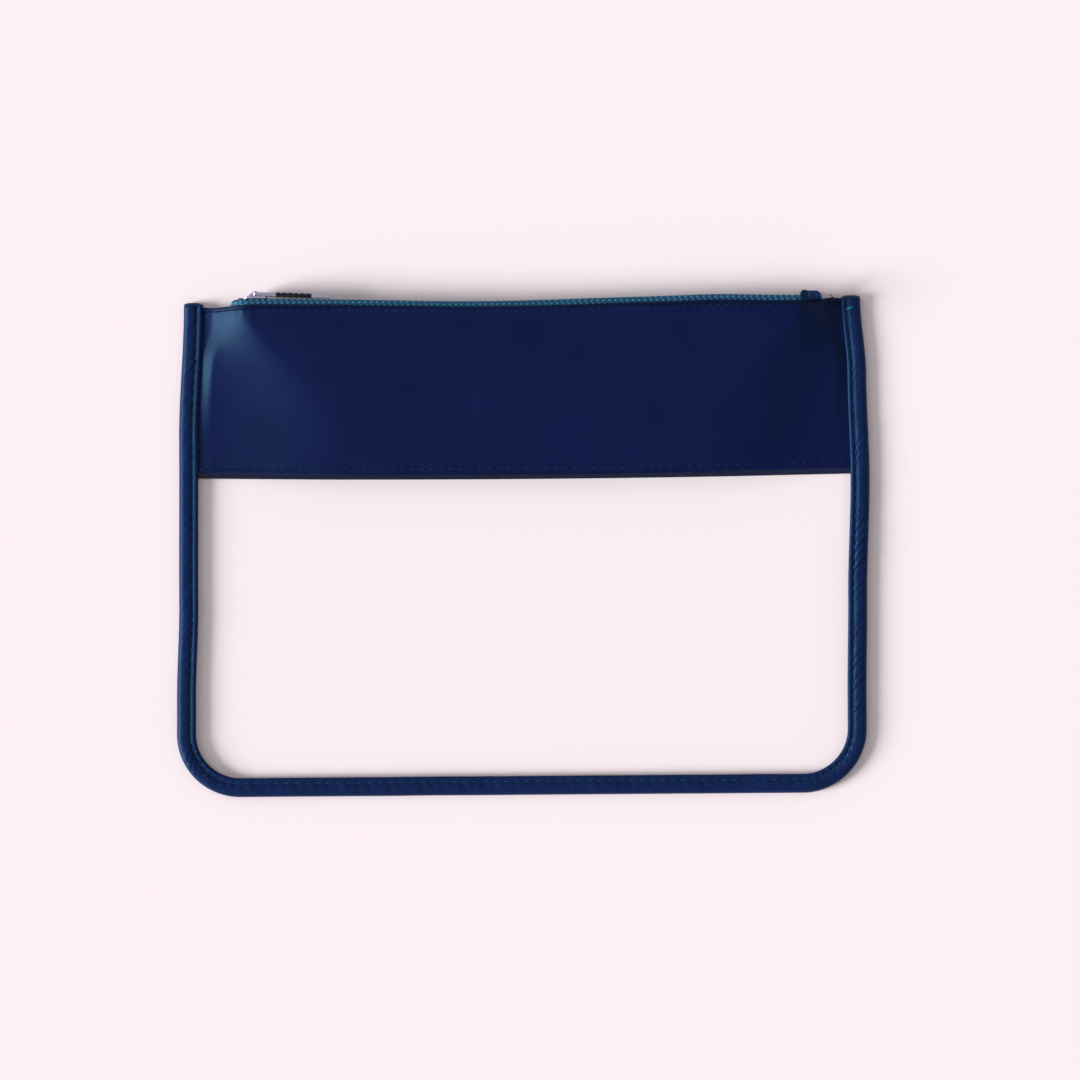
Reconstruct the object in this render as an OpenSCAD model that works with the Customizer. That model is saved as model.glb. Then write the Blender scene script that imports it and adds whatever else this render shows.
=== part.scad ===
/* [Pouch] */
// Width over the binding
bag_w = 250; // [210:1:320]
// Height from the bottom edge to the folded top edge of the bands
fold_h = 176.5; // [150:0.5:240]
// Outer radius of the two bottom corners
corner_r = 23; // [14:0.5:34]
// Height of the front fabric band
band_h = 62.5; // [45:0.5:80]
// How much lower the back band reaches than the front band
back_drop = 1.2; // [0:0.1:4]
// Overlap of each clear window behind its band
hem_lap = 8; // [6:0.5:12]
// Thickness of the band fabric
cloth_t = 0.4; // [0.3:0.05:0.6]
// Thickness of the clear window sheet
film_t = 0.4; // [0.2:0.05:0.5]
// Gap between sheets that lie on each other without being sewn
sheet_gap = 0.1; // [0.05:0.05:0.3]

/* [Swell of the front] */
// Width of the ramp beside each binding at the mouth
ramp_top = 16.5; // [12:0.5:24]
// Width of that ramp lower down
ramp_low = 13; // [8:0.5:24]
// Height over which the ramp narrows, below the zip seam
ramp_spread = 50; // [30:1:100]
// How late the swell grows on the way up: 1 is a plain wedge
swell_power = 1.3; // [1:0.1:2]
// Facets across one ramp
ramp_n = 8; // [4:1:12]
// Rows of facets up the clear window
window_rows = 9; // [5:1:14]
// Rows of facets up the band
band_rows = 6; // [3:1:10]

/* [Binding] */
// Width of the binding, from its outer edge to its stitched edge
bind_w = 6.6; // [5:0.2:9]
// Thickness of one layer of the binding
bind_t = 0.5; // [0.3:0.05:0.7]
// Depth of the panels' seam margin inside the binding
seam_margin = 4.3; // [3:0.1:4.6]
// Height of the folded binding ends above the bands
bind_rise = 2; // [1:0.1:2.4]
// Side gap between the moving front band and the binding
side_gap = 0.2; // [0.1:0.05:0.5]
// Distance of the binding seam from its inner edge
bind_seam = 1.7; // [1:0.1:2.4]

/* [Seams] */
// Width and thickness of a sewing thread
thread_d = 0.3; // [0.2:0.05:0.4]
// Depth of the thread in the underside of the binding
thread_sunk = 0.25; // [0.15:0.05:0.3]
// Distance of the top seam below the fold
top_seam = 1.8; // [1.2:0.1:4]
// Distance of the hem seam above the lower edge of a band
hem_seam = 2.2; // [1.5:0.1:4]

/* [Zip chain] */
// Thickness of the zip tape
tape_t = 0.4; // [0.3:0.05:0.6]
// Height of the tape above the folded bands
tape_rise = 2.1; // [1.5:0.1:3]
// Depth of the tape that is sewn inside the bands
tape_leg = 8.5; // [6:0.5:11]
// Distance of the left tape end from the side of the pouch
tape_inset_l = 21; // [18:0.5:23.5]
// Distance of the right tape end from the side of the pouch
tape_inset_r = 17; // [15:0.5:20]
// Gap between the two tapes
slit_w = 1; // [0.9:0.05:1.4]
// Diameter of the coil
coil_d = 1.7; // [1.4:0.1:2]
// Diameter of the hole along the coil
coil_bore = 1; // [0.8:0.05:1.1]
// Diameter of the cord inside the coil
core_d = 0.82; // [0.6:0.02:0.9]
// Distance of the chain's end from the flat part of the mouth's end
stop_inset = 0.9; // [0.5:0.1:2]
// Length of a stop
stop_l = 1.5; // [1:0.1:2.5]
// Thickness of the metal of a stop
stop_t = 0.4; // [0.3:0.05:0.5]
// Width of the fabric tab over the right end of the zip
tab_w = 7.5; // [6:0.1:8]
// Thickness of the tab fabric
tab_t = 0.3; // [0.2:0.05:0.4]

/* [Slider] */
// Length of the slider body
slider_l = 8.4; // [7:0.1:10]
// Width of the slider body
slider_w = 7.4; // [6.6:0.1:9]
// Corner radius of the slider body
slider_r = 1.6; // [0.8:0.1:2.4]
// Thickness of each blade
blade_t = 0.8; // [0.6:0.05:1.2]
// Thickness of each flange
flange_t = 1.1; // [0.8:0.05:1.3]
// Thickness of the post that parts the chain
post_t = 0.8; // [0.5:0.05:0.8]
// Length of the post
post_l = 2.2; // [1.5:0.1:3]
// Gap between the slider and the tapes or bands beside it
slider_gap = 0.25; // [0.2:0.05:0.4]
// Gap between a blade and the tape or coil
blade_gap = 0.2; // [0.1:0.05:0.3]
// Length of the crown that holds the pull
crown_l = 5.2; // [4.6:0.1:6]
// Width of the crown
crown_w = 1.8; // [1.4:0.1:2.2]
// Thickness of the crown round the pull's bar
crown_t = 0.48; // [0.4:0.02:0.7]

/* [Pull] */
// Length of the pull from its bar to its tip
pull_l = 26.6; // [20:0.2:30]
// Width of the pull
pull_w = 5.6; // [5:0.1:6.4]
// Thickness of the pull
pull_t = 1.2; // [1:0.05:1.3]
// Diameter of the bar under the crown
bar_d = 1.1; // [0.9:0.02:1.2]
// Radial clearance of the bar in the crown
bar_gap = 0.07; // [0.04:0.01:0.1]
// Clearance beside and in front of the crown in the pull's eye
eye_gap = 0.4; // [0.3:0.05:0.6]
// Distance from the bar to the first rib of the grip
grip_x = 7.8; // [6:0.1:9]
// Number of ribs on the grip
rib_n = 6; // [3:1:6]
// Pitch of the ribs
rib_pitch = 2.13; // [1.8:0.01:2.3]
// Length of one rib
rib_l = 1; // [0.6:0.1:1.2]
// Height of a rib above the pull's face
rib_t = 0.2; // [0.1:0.05:0.2]
// Angle at which the pull droops onto the tape
pull_tilt = 2.5; // [1:0.1:2.8]

/* [Hidden] */

navy = "#18264F";
navy_edge = "#20386B";
navy_tape = "#284A72";
thread_navy = "#2A4A80";
clear_film = [0.93, 0.95, 0.98, 0.35];
nickel = "#B9BAC8";
dark_metal = "#3A3C46";

// Heights above the bottom edge
front_low = fold_h - band_h;
back_low = front_low - back_drop;
window_top = front_low + hem_lap;
leg_low = fold_h - tape_leg;
tape_top = fold_h + tape_rise;
tape_under = tape_top - tape_t;
bind_top = fold_h + bind_rise;
coil_v = tape_under - 0.05 - coil_d / 2;
blade_low = coil_v - coil_d / 2 - blade_gap - blade_t;
blade_high = tape_top + blade_gap;
bar_v = blade_high + blade_t + pull_t / 2 + 0.3;
crown_r = bar_d / 2 + bar_gap + crown_t;
total_h = bar_v + crown_r;

// Levels above the floor, where the layers meet inside the binding
back_cloth_z = bind_t;
back_film_z = back_cloth_z + cloth_t;
front_film_z = back_film_z + film_t + sheet_gap;
front_cloth_z = front_film_z + film_t + sheet_gap;
bind_h = front_cloth_z + cloth_t + bind_t;
back_leg_z = back_film_z + tape_t;
front_leg_z = front_cloth_z - tape_t;

// The mouth is as deep as the slider needs, and the chain runs in its middle
swell = slider_w + 2 * slider_gap - (front_leg_z - back_leg_z);
zip_z = (back_leg_z + front_leg_z + swell) / 2;
coil_z = slit_w / 2 + 0.05 + coil_d / 2;

// Places across the width
side_x = bag_w / 2;
corner_x = side_x - corner_r;
inner_x = side_x - bind_w;
margin_u = bind_w - seam_margin;
chain_x = inner_x - ramp_top - stop_inset;
slider_x = chain_x - stop_l - 0.3 - slider_l / 2;
tape_x0 = tape_inset_l - side_x;
tape_x1 = side_x - tape_inset_r;
eye_l = norm([crown_l / 2, bar_v - blade_high - blade_t]) + eye_gap;

function ease(t) = pow(sin(90 * max(0, min(1, t))), 2);
function ramp_w(v) = ramp_top + (ramp_low - ramp_top) * ease((leg_low - v) / ramp_spread);
function rise(v) = pow(max(0, min(1, (v - bind_w) / (leg_low - bind_w))), swell_power);
function half_width(v, inset) = v >= corner_r ? side_x - inset
    : corner_x + sqrt(max(0, pow(corner_r - inset, 2) - pow(corner_r - v, 2)));
function both_sides(half) = concat(
    [for (p = half) [-p[0], p[1], p[2]]],
    [for (i = [len(half) - 1:-1:0]) half[i]]);

// One ramp of the swollen front at height v, from the binding inwards
function ramp_points(v, start) = let (foot = half_width(v, bind_w)) [for (k = [0:ramp_n])
    [k == 0 ? min(start, foot) : foot - ramp_w(v) * k / ramp_n, v,
        swell * rise(v) * ease(k / ramp_n)]];
function window_row(v) = let (edge = half_width(v, margin_u))
    both_sides(concat([[edge, v, 0]], ramp_points(v, edge - 0.6)));
function band_row(v) = both_sides(ramp_points(v, inner_x - side_gap));

// Rows of facets: the window and the band share those at the hem seam
hem_vs = [front_low + hem_seam - thread_d / 2, front_low + hem_seam + thread_d / 2];
corner_vs = [for (k = [0:5]) corner_r - (corner_r - bind_w) * cos(18 * k)];
window_vs = concat([margin_u, (margin_u + bind_w) / 2], corner_vs,
    [for (k = [1:window_rows]) corner_r + (front_low - corner_r) * k / window_rows],
    hem_vs, [window_top]);
band_vs = concat([front_low], hem_vs,
    [for (k = [0:band_rows]) window_top + (leg_low - window_top) * k / band_rows],
    [fold_h]);
mouth_line = [for (p = band_row(fold_h)) [p[0], p[2]]];
function cuts(a, b) = concat([a],
    [for (p = mouth_line) if (p[0] > a + 0.1 && p[0] < b - 0.1) p[0]], [b]);

// Everything is drawn from the bottom edge and then centred over its height
module centred() {
    translate([0, -total_h / 2, 0]) children();
}

// A sheet of thickness t whose lower face passes through rows of points
module sheet(rows, base_z, t) {
    m = len(rows);
    n = len(rows[0]);
    low = [for (r = rows) for (p = r) [p[0], p[1], p[2] + base_z]];
    high = [for (p = low) [p[0], p[1], p[2] + t]];
    top = m * n;
    faces = concat(
        [for (j = [0:m - 2]) for (i = [0:n - 2]) each [
            [top + j * n + i, top + (j + 1) * n + i, top + (j + 1) * n + i + 1],
            [top + j * n + i, top + (j + 1) * n + i + 1, top + j * n + i + 1],
            [j * n + i, (j + 1) * n + i + 1, (j + 1) * n + i],
            [j * n + i, j * n + i + 1, (j + 1) * n + i + 1]]],
        [for (i = [0:n - 2]) each [
            [i, top + i, top + i + 1, i + 1],
            [(m - 1) * n + i, (m - 1) * n + i + 1, top + (m - 1) * n + i + 1,
                top + (m - 1) * n + i]]],
        [for (j = [0:m - 2]) each [
            [j * n, (j + 1) * n, top + (j + 1) * n, top + j * n],
            [j * n + n - 1, top + j * n + n - 1, top + (j + 1) * n + n - 1,
                (j + 1) * n + n - 1]]]);
    polyhedron(concat(low, high), faces, convexity = 4);
}

// A solid through matching outlines, closed at its ends by the given faces
module loft(outlines, ends) {
    m = len(outlines);
    n = len(outlines[0]);
    faces = concat(
        [for (j = [0:m - 2]) for (i = [0:n - 1]) let (k = (i + 1) % n) each [
            [j * n + i, (j + 1) * n + i, (j + 1) * n + k],
            [j * n + i, (j + 1) * n + k, j * n + k]]],
        [for (f = ends) f],
        [for (f = ends) [for (k = [len(f) - 1:-1:0]) (m - 1) * n + f[k]]]);
    polyhedron([for (o = outlines) each o], faces, convexity = 4);
}

// An outline in width and height, from level z, t thick
module plate(z, t) {
    translate([0, 0, z]) linear_extrude(t) children();
}

// An outline in height and level, drawn out along the width
module along_x(x0, x1) {
    translate([x0, 0, 0]) rotate([90, 0, 90]) linear_extrude(x1 - x0) children();
}

// An outline in width and level, drawn out up the height
module up_from(v, t) {
    translate([0, v + t, 0]) rotate([90, 0, 0]) linear_extrude(t) children();
}

// A section carried down one side, round the bottom and up the other side;
// its first coordinate is the distance from the corner's centre
module round_edge(top) {
    for (s = [0, 1]) mirror([s, 0, 0]) {
        translate([corner_x, top, 0]) rotate([90, 0, 0])
            linear_extrude(top - corner_r) children();
        translate([corner_x, corner_r, 0]) rotate([0, 0, -90])
            rotate_extrude(angle = 90, $fn = 96) children();
    }
    translate([corner_x, corner_r, 0]) rotate([0, 0, -90]) rotate([90, 0, 0])
        linear_extrude(2 * corner_x) children();
}

// The pouch's outline, drawn in by inset
module outline(inset, top) {
    r = corner_r - inset;
    for (x = [-corner_x, corner_x]) translate([x, corner_r]) circle(r, $fn = 96);
    translate([-corner_x, inset]) square([2 * corner_x, corner_r]);
    translate([inset - side_x, corner_r]) square([bag_w - 2 * inset, top - corner_r]);
}

module binding_section() {
    translate([corner_r - bind_h / 2, bind_h / 2]) circle(d = bind_h, $fn = 48);
    translate([corner_r - bind_w, 0]) square([bind_w - bind_h / 2, bind_h]);
}

module edge_binding() {
    seam_r = corner_r - bind_w + bind_seam;
    color(navy_edge) centred() difference() {
        round_edge(bind_top) binding_section();
        // the clear windows' margins
        plate(back_film_z, front_cloth_z - sheet_gap - back_film_z) outline(margin_u, window_top);
        // the bands' margins, closed above by the folded ends
        plate(back_cloth_z, bind_h - 2 * bind_t)
            translate([margin_u - side_x, back_low])
            square([bag_w - 2 * margin_u, fold_h - back_low]);
        // the groove of the seam in the underside
        round_edge(fold_h) translate([seam_r - thread_d / 2, -1])
            square([thread_d, 1 + thread_sunk]);
    }
}

module back_band() {
    color(navy) centred() plate(back_cloth_z, cloth_t)
        translate([margin_u - side_x, back_low])
        square([bag_w - 2 * margin_u, fold_h - back_low]);
}

module back_window() {
    color(clear_film) centred() plate(back_film_z, film_t) outline(margin_u, window_top);
}

module front_window() {
    color(clear_film) centred()
        sheet([for (v = window_vs) window_row(v)], front_film_z, film_t);
}

module front_band() {
    color(navy) centred()
        sheet([for (v = band_vs) band_row(v)], front_cloth_z, cloth_t);
}

module front_band_margins() {
    color(navy) centred() plate(front_cloth_z, cloth_t)
        for (s = [0, 1]) mirror([s, 0]) translate([inner_x + 0.1, front_low])
            square([seam_margin - 0.1, band_h]);
}

module back_zip_tape() {
    color(navy_tape) centred() along_x(tape_x0, tape_x1) {
        translate([leg_low, back_film_z]) square([tape_top - leg_low, tape_t]);
        translate([tape_under, back_film_z])
            square([tape_t, zip_z - slit_w / 2 - back_film_z]);
    }
}

module front_zip_tape() {
    color(navy_tape) centred() loft([for (x = cuts(tape_x0, tape_x1))
        let (out = front_cloth_z + lookup(x, mouth_line), edge = zip_z + slit_w / 2)
        [[x, leg_low, out], [x, tape_top, out], [x, tape_top, edge],
            [x, tape_under, edge], [x, tape_under, out - tape_t], [x, leg_low, out - tape_t]]],
        [[0, 1, 4, 5], [1, 2, 3, 4]]);
}

module coil(side) {
    color(navy_tape) centred() translate([0, 0, zip_z + side * coil_z])
        along_x(-chain_x + stop_l, chain_x - stop_l) translate([coil_v, 0]) difference() {
            circle(d = coil_d, $fn = 32);
            circle(d = coil_bore, $fn = 32);
        }
}

module coil_core(side) {
    color(navy) centred() translate([0, 0, zip_z + side * coil_z])
        along_x(-chain_x + stop_l, chain_x - stop_l) translate([coil_v, 0])
            circle(d = core_d, $fn = 32);
}

module back_zip_coil() { coil(-1); }
module front_zip_coil() { coil(1); }
module back_coil_core() { coil_core(-1); }
module front_coil_core() { coil_core(1); }

// A clip folded round the edge of one tape
module top_stop(side) {
    under = coil_v - coil_d / 2;
    edge = slit_w / 2;
    color(dark_metal) centred() translate([0, 0, zip_z])
        along_x(-chain_x, -chain_x + stop_l) mirror([0, side < 0 ? 1 : 0]) {
            translate([under, edge]) square([tape_under - under, coil_d]);
            translate([under, edge - stop_t / 2]) square([tape_top + stop_t - under, stop_t / 2]);
            translate([tape_top, edge - stop_t / 2]) square([stop_t, coil_d]);
        }
}

module back_top_stop() { top_stop(-1); }
module front_top_stop() { top_stop(1); }

module bottom_stop() {
    under = coil_v - coil_d / 2;
    w = 2 * (coil_z + coil_d / 2);
    color(dark_metal) centred() along_x(chain_x - stop_l, chain_x)
        translate([under, zip_z - w / 2]) square([tape_under - under, w]);
}

module zip_end_tab() {
    low = fold_h + 0.1;
    high = tape_top + 0.05;
    back_in = back_film_z - 0.05;
    color(navy_edge) centred() loft([for (x = cuts(tape_x1 - tab_w, tape_x1))
        let (front_in = front_cloth_z + 0.05 + lookup(x, mouth_line))
        [[x, low, front_in + tab_t], [x, high + tab_t, front_in + tab_t],
            [x, high + tab_t, back_in - tab_t], [x, low, back_in - tab_t],
            [x, low, back_in], [x, high, back_in], [x, high, front_in], [x, low, front_in]]],
        [[0, 1, 6, 7], [1, 2, 5, 6], [2, 3, 4, 5]]);
}

module rounded(l, w, r) {
    translate([-l / 2 + r, -w / 2]) square([l - 2 * r, w]);
    translate([-l / 2, -w / 2 + r]) square([l, w - 2 * r]);
    for (x = [-1, 1]) for (z = [-1, 1])
        translate([x * (l / 2 - r), z * (w / 2 - r)]) circle(r, $fn = 32);
}

module slider_body() {
    flange_h = tape_under - blade_gap - blade_low - blade_t;
    color(nickel) centred() translate([-slider_x, 0, zip_z]) {
        for (v = [blade_low, blade_high]) up_from(v, blade_t) rounded(slider_l, slider_w, slider_r);
        up_from(blade_low + blade_t, flange_h) difference() {
            rounded(slider_l, slider_w, slider_r);
            translate([-slider_l, flange_t - slider_w / 2])
                square([2 * slider_l, slider_w - 2 * flange_t]);
        }
        up_from(blade_low + blade_t, blade_high - blade_low - blade_t)
            translate([-slider_l / 2 + 0.3, -post_t / 2]) square([post_l, post_t]);
    }
}

module slider_crown() {
    foot = blade_high + blade_t;
    color(nickel) centred() translate([-slider_x, bar_v, zip_z - crown_w / 2])
        linear_extrude(crown_w) difference() {
            union() {
                circle(crown_r, $fn = 48);
                polygon([[-crown_l / 2, foot - bar_v], [crown_l / 2, foot - bar_v],
                    [crown_l / 2, (foot - bar_v) / 2], [crown_r * 0.8, crown_r * 0.6],
                    [-crown_r * 0.8, crown_r * 0.6], [-crown_l / 2, (foot - bar_v) / 2]]);
            }
            circle(bar_d / 2 + bar_gap, $fn = 48);
            translate([-crown_l, foot - bar_v - crown_l]) square([2 * crown_l, crown_l]);
        }
}

// The flat pull, with an eye that clears the crown and a bar across its end
module pull_tab() {
    eye_w = crown_w + 2 * eye_gap;
    heel = bar_d / 2;
    color(nickel) centred() translate([-slider_x, bar_v, zip_z]) rotate([0, 0, -pull_tilt]) {
        rotate([90, 0, 0]) translate([0, 0, -pull_t / 2]) linear_extrude(pull_t) difference() {
            translate([(pull_l - heel) / 2, 0]) rounded(pull_l + heel, pull_w, heel);
            translate([-2 * heel, -eye_w / 2]) square([2 * heel + eye_l, eye_w]);
        }
        cylinder(d = bar_d, h = eye_w + 0.4, center = true, $fn = 32);
        for (k = [0:rib_n - 1]) translate([grip_x + k * rib_pitch, 0, 0])
            translate([0, -pull_t / 2 - rib_t, -pull_w / 2])
            cube([rib_l, pull_t + 2 * rib_t, pull_w]);
    }
}

module back_thread(v) {
    color(thread_navy) centred()
        translate([side_gap - inner_x, v - thread_d / 2, back_cloth_z - thread_d])
        cube([2 * (inner_x - side_gap), thread_d, thread_d]);
}

// A seam that lies on the front band
module front_thread(v) {
    color(thread_navy) centred()
        sheet([band_row(v - thread_d / 2), band_row(v + thread_d / 2)],
            front_cloth_z + cloth_t, thread_d);
}

module back_top_thread() { back_thread(fold_h - top_seam); }
module back_hem_thread() { back_thread(back_low + hem_seam); }
module front_top_thread() { front_thread(fold_h - top_seam); }
module front_hem_thread() { front_thread(front_low + hem_seam); }

module binding_thread() {
    seam_r = corner_r - bind_w + bind_seam;
    color(thread_navy) centred() round_edge(fold_h) {
        translate([seam_r - thread_d / 2, bind_h]) square(thread_d);
        translate([seam_r - thread_d / 2, 0]) square([thread_d, thread_sunk]);
    }
}

edge_binding();
back_band();
back_window();
front_window();
front_band();
front_band_margins();
back_zip_tape();
front_zip_tape();
back_zip_coil();
front_zip_coil();
back_coil_core();
front_coil_core();
back_top_stop();
front_top_stop();
bottom_stop();
zip_end_tab();
slider_body();
slider_crown();
pull_tab();
back_top_thread();
front_top_thread();
back_hem_thread();
front_hem_thread();
binding_thread();
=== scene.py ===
import math
import bpy
from mathutils import Matrix, Vector, noise


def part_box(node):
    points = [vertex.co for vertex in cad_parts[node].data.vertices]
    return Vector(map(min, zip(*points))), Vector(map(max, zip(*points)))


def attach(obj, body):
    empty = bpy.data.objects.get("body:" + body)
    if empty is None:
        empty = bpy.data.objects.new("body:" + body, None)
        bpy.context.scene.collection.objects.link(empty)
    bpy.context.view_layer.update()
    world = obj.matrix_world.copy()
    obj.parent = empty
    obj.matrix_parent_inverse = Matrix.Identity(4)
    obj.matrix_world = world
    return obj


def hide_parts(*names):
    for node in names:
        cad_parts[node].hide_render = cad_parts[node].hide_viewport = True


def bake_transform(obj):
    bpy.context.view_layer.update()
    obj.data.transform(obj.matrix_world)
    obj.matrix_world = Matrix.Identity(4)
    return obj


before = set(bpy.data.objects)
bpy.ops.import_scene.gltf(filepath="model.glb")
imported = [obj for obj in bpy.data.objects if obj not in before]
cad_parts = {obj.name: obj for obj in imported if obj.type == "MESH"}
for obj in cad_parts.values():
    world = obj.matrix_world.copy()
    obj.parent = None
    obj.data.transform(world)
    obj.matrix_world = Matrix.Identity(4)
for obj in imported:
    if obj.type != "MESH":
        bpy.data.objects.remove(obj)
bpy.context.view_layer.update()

mm = 0.001
doubled = 0.4 * mm                       # thickness of the band's two layers of cloth

bindLow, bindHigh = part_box("edge_binding")
bandLow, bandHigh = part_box("front_band")
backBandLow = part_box("back_band")[0]
tapeLow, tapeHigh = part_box("front_zip_tape")
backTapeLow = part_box("back_zip_tape")[0]
coilLow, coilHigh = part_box("back_zip_coil")
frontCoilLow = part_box("front_zip_coil")[0]
tabLow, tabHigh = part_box("zip_end_tab")
pullLow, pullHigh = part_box("pull_tab")

# the shape that the soft pieces share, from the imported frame
pouch = {
    "side": bindHigh.x,
    "base": bindLow.y,
    "bindTop": bindHigh.y,
    "inner": bandHigh.x + 0.2 * mm,      # inner edge of the binding
    "corner": 23 * mm,                   # outer radius of the bottom corners
    "low": bandLow.y,                    # lower edge of the front band
    "fold": bandHigh.y,                  # folded top of both bands
    "leg": tapeLow.y,                    # lower edge of the zip tapes
    "tapeTop": tapeHigh.y,
    "clothZ": bandLow.z,
    "swell": bandHigh.z - bandLow.z - doubled,       # how far the front rises from its flat edges
    "ramp": (9 * mm, 5 * mm),            # width of the steep rise beside the binding: mouth, lower down
    "rampStart": 4 * mm,                 # flat cloth beside the binding, at the mouth only
    "rampSpread": 20 * mm,               # the ramp runs in to the binding over this depth
    "steep": 0.03,                       # part of the swell that the ramp takes
    "steepMore": 0.2,                    # and what it takes besides at its steepest
    "steepest": (18 * mm, 12 * mm, 24 * mm),   # depth of that, how it fades upwards and downwards
    "skirt": (17.5 * mm, 52 * mm),       # the rest rises slowly over this width: mouth, lower down
    "skirtSpread": 42 * mm,
    "swellPower": 1.3,                   # 1 is a straight wedge from the bottom to the mouth
    "tuck": 1.2 * mm,                    # cloth that runs in under the binding
    "bindPitch": 3.75 * mm,              # stitches of the binding
    "mouthZ": (coilHigh.z + frontCoilLow.z) / 2,
    "tapeWeave": 2.13 * mm,              # pitch of the zip tapes' woven pattern
    "leanStart": 55 * mm,                # from here outwards the cloth follows the leaning sides
    "leanWidth": 60 * mm,
}
# the bound sides lean in a little: height above the base and how far in, in mm
leftLean = [(0, 0), (34, 0.4), (70, 1.5), (128, 1.9), (178, 4.0)]
rightLean = [(0, 1.9), (34, 1.8), (70, 1.3), (114, 0.1), (150, 1.0), (178, 3.0)]


def smooth(t):
    t = max(0.0, min(1.0, t))
    return t * t * (3 - 2 * t)


def mixed(pair, share):
    return pair[0] + (pair[1] - pair[0]) * share


def hump(d, width):
    return math.exp(-(d / width) ** 2)


def rippleAt(x, y, scaleX, scaleY, seed=0.0):
    return noise.noise(Vector((x / scaleX, y / scaleY, seed)))


# 0 under each stitch, 1 between two of them
def stitchWave(along, pitch):
    return 0.5 + 0.5 * math.cos(2 * math.pi * along / pitch)


def leanAt(points, height):
    for (h0, a), (h1, b) in zip(points, points[1:]):
        if height <= h1:
            return (a + (b - a) * smooth((height - h0) / (h1 - h0))) * mm
    return points[-1][1] * mm


# where the cloth at x really is at this height: nearer the middle beside the bindings
def swayX(x, y):
    share = smooth((abs(x) - pouch["leanStart"]) / pouch["leanWidth"])
    height = (y - pouch["base"]) / mm
    if x < 0:
        return x + share * leanAt(leftLean, height)
    return x - share * leanAt(rightLean, height)


def halfWidth(y, inset):
    v = y - pouch["base"]
    if v >= pouch["corner"]:
        return pouch["side"] - inset
    r = pouch["corner"] - inset
    return pouch["side"] - pouch["corner"] + math.sqrt(max(0.0, r * r - (pouch["corner"] - v) ** 2))


# how far the front stands above its flat edges
def frontRise(x, y):
    v = y - pouch["base"]
    legV, bind = pouch["leg"] - pouch["base"], pouch["side"] - pouch["inner"]
    grow = max(0.0, min(1.0, (v - bind) / (legV - bind))) ** pouch["swellPower"]
    deep = pouch["fold"] - y
    narrow = smooth(deep / pouch["rampSpread"])
    width, flat = mixed(pouch["ramp"], narrow), pouch["rampStart"] * (1 - narrow)
    depth, upwards, downwards = pouch["steepest"]
    fade = upwards if deep < depth else downwards
    steep = pouch["steep"] + pouch["steepMore"] * hump(deep - depth, fade)
    skirt = mixed(pouch["skirt"], smooth(deep / pouch["skirtSpread"]))
    inside = halfWidth(y, bind) - abs(x)
    rise = steep * smooth((inside - flat) / width) + (1 - steep) * smooth(inside / skirt)
    return pouch["swell"] * grow * rise


# the flat place of cloth that ends up at x
def unswayed(x, y):
    flat = x
    for _ in range(5):
        flat = x - (swayX(flat, y) - flat)
    return flat


def pickObject(obj):
    bpy.ops.object.select_all(action="DESELECT")
    obj.select_set(True)
    bpy.context.view_layer.objects.active = obj


# runs each (operator, settings) on the whole mesh, in one visit to edit mode
def editAll(obj, *edits):
    pickObject(obj)
    bpy.ops.object.mode_set(mode="EDIT")
    for operator, settings in edits:
        bpy.ops.mesh.select_all(action="SELECT")
        operator(**settings)
    bpy.ops.object.mode_set(mode="OBJECT")


# a grid primitive whose points are laid by place(u, row), u from 0 to 1
def shapedGrid(name, columns, rows, place):
    bpy.ops.object.select_all(action="DESELECT")
    bpy.ops.mesh.primitive_grid_add(x_subdivisions=columns, y_subdivisions=rows, size=2, calc_uvs=True)
    obj = bpy.context.object
    obj.name = name
    for vert in obj.data.vertices:
        u = (vert.co.x + 1) / 2
        vert.co = place(u, round((vert.co.y + 1) / 2 * rows))
    editAll(obj, (bpy.ops.mesh.normals_make_consistent, {"inside": False}))
    bpy.ops.object.shade_smooth()
    return obj


# turns an open sheet so that its faces above the given level look the wanted way
def faceUp(obj, wanted, above=-1.0):
    total = Vector((0, 0, 0))
    for face in obj.data.polygons:
        if face.center.z > above:
            total += face.normal * face.area
    if total.dot(wanted) < 0:
        editAll(obj, (bpy.ops.mesh.flip_normals, {}))


# gives an open sheet its thickness, half to each side
def thicken(obj, thickness):
    pickObject(obj)
    mod = obj.modifiers.new("Solidify", "SOLIDIFY")
    mod.thickness = thickness
    mod.offset = 0.0
    mod.use_even_offset = True
    mod.thickness_clamp = 1.0
    bpy.ops.object.modifier_apply(modifier=mod.name)
    bpy.ops.object.shade_smooth_by_angle(angle=math.radians(62))


def joinAll(objects, name):
    bpy.ops.object.select_all(action="DESELECT")
    for obj in objects:
        obj.select_set(True)
    bpy.context.view_layer.objects.active = objects[0]
    if len(objects) > 1:
        bpy.ops.object.join()
    objects[0].name = name
    return objects[0]


def finishPiece(obj, material, slotName, *replaced):
    obj.data.materials.clear()
    obj.data.materials.append(material)
    if replaced:
        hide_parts(*replaced)


# bakes the piece's placement into its mesh; the mouth's front pieces go through here
def bendWithMouth(obj):
    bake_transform(obj)


def nodeInput(group, name, kind, value=None):
    socket = group.interface.new_socket(name=name, in_out="INPUT", socket_type=kind)
    if value is not None:
        socket.default_value = value


def nodeOutput(group, name):
    group.interface.new_socket(name=name, in_out="OUTPUT", socket_type="NodeSocketFloat")


def nodeMath(tree, operation, a, b=None):
    node = tree.nodes.new("ShaderNodeMath")
    node.operation = operation
    for index, value in enumerate((a, b)):
        if value is None:
            continue
        if isinstance(value, (int, float)):
            node.inputs[index].default_value = value
        else:
            tree.links.new(value, node.inputs[index])
    return node.outputs[0]


# base + share * value
def nodeAdded(tree, base, value, share):
    return nodeMath(tree, "ADD", nodeMath(tree, "MULTIPLY", value, share), base)


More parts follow.
